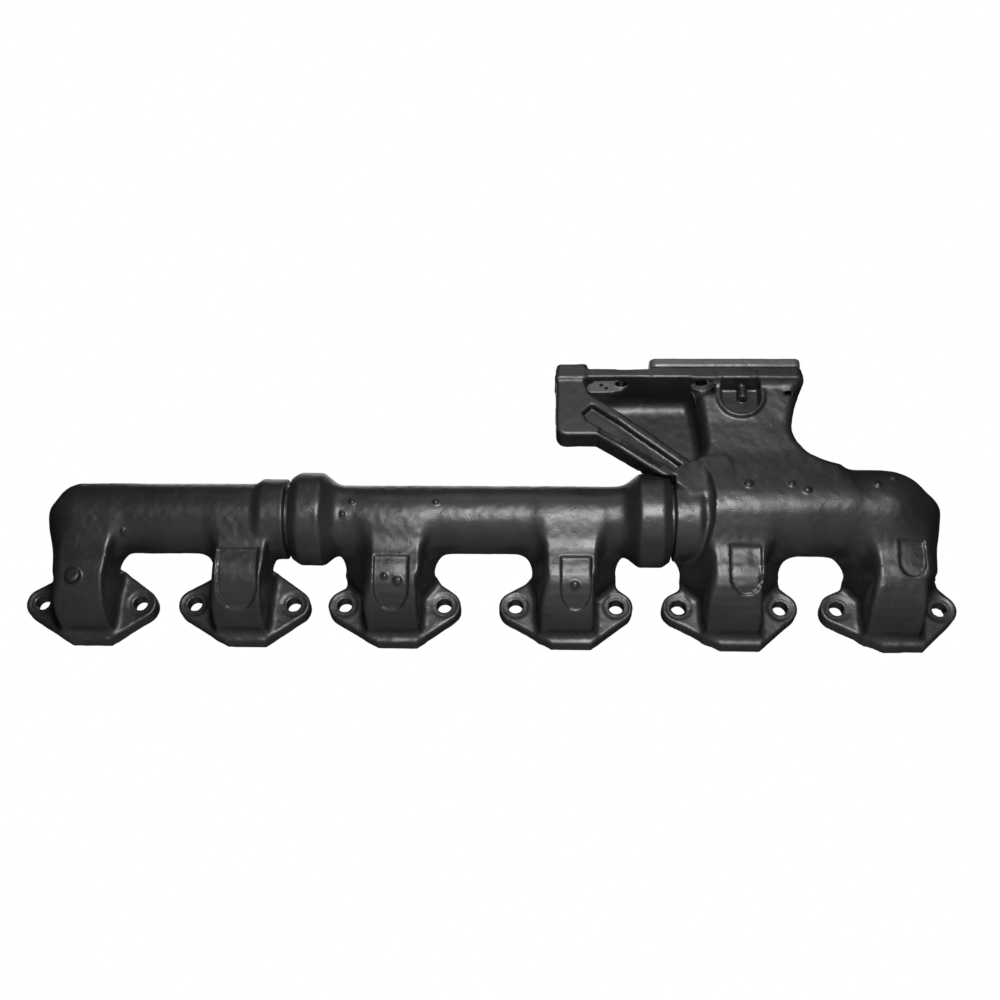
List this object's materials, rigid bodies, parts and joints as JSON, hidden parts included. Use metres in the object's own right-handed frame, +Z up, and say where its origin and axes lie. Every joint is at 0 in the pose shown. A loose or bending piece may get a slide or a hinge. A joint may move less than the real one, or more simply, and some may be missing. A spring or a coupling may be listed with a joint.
{
  "type": "exhaust manifold",
  "caption": "Cast-iron exhaust manifold in three sections with ringed slip joints, runner flanges and a raised turbocharger mounting flange.",
  "frame": {"origin": "the middle of port 3's pair of bolt holes, on the machined port face", "axes": "+X along the engine from the front section to the rear section, +Y out of the port faces into the cylinder head, +Z up, out of the turbocharger pad"},
  "size_m": [0.836, 0.09, 0.2485],
  "materials": {
    "cast_black": "satin black heat-resistant paint over sand-cast iron",
    "ring_steel": "turned spring steel"
  },
  "bodies": {
    "centre": {"centre_section": "cast_black"},
    "front_rings": {"front_seal_ring_1": "ring_steel", "front_seal_ring_2": "ring_steel", "front_seal_ring_3": "ring_steel"},
    "front": {"front_section": "cast_black"},
    "rear_rings": {"rear_seal_ring_1": "ring_steel", "rear_seal_ring_2": "ring_steel", "rear_seal_ring_3": "ring_steel"},
    "rear": {"rear_section": "cast_black"}
  },
  "joints": [
    {"name": "front_slip", "type": "slide", "parent": "centre", "child": "front_rings", "axis": [-1, 0, 0], "range_m": [-0.004, 0.006]},
    {"name": "front_swivel", "type": "hinge", "parent": "front_rings", "child": "front", "pos_m": [-0.076, -0.046, 0.07], "axis": [1, 0, 0], "range_deg": [-20, 20]},
    {"name": "rear_slip", "type": "slide", "parent": "centre", "child": "rear_rings", "axis": [1, 0, 0], "range_m": [-0.0025, 0.006]},
    {"name": "rear_swivel", "type": "hinge", "parent": "rear_rings", "child": "rear", "pos_m": [0.23, -0.046, 0.07], "axis": [1, 0, 0], "range_deg": [-20, 20]}
  ]
}
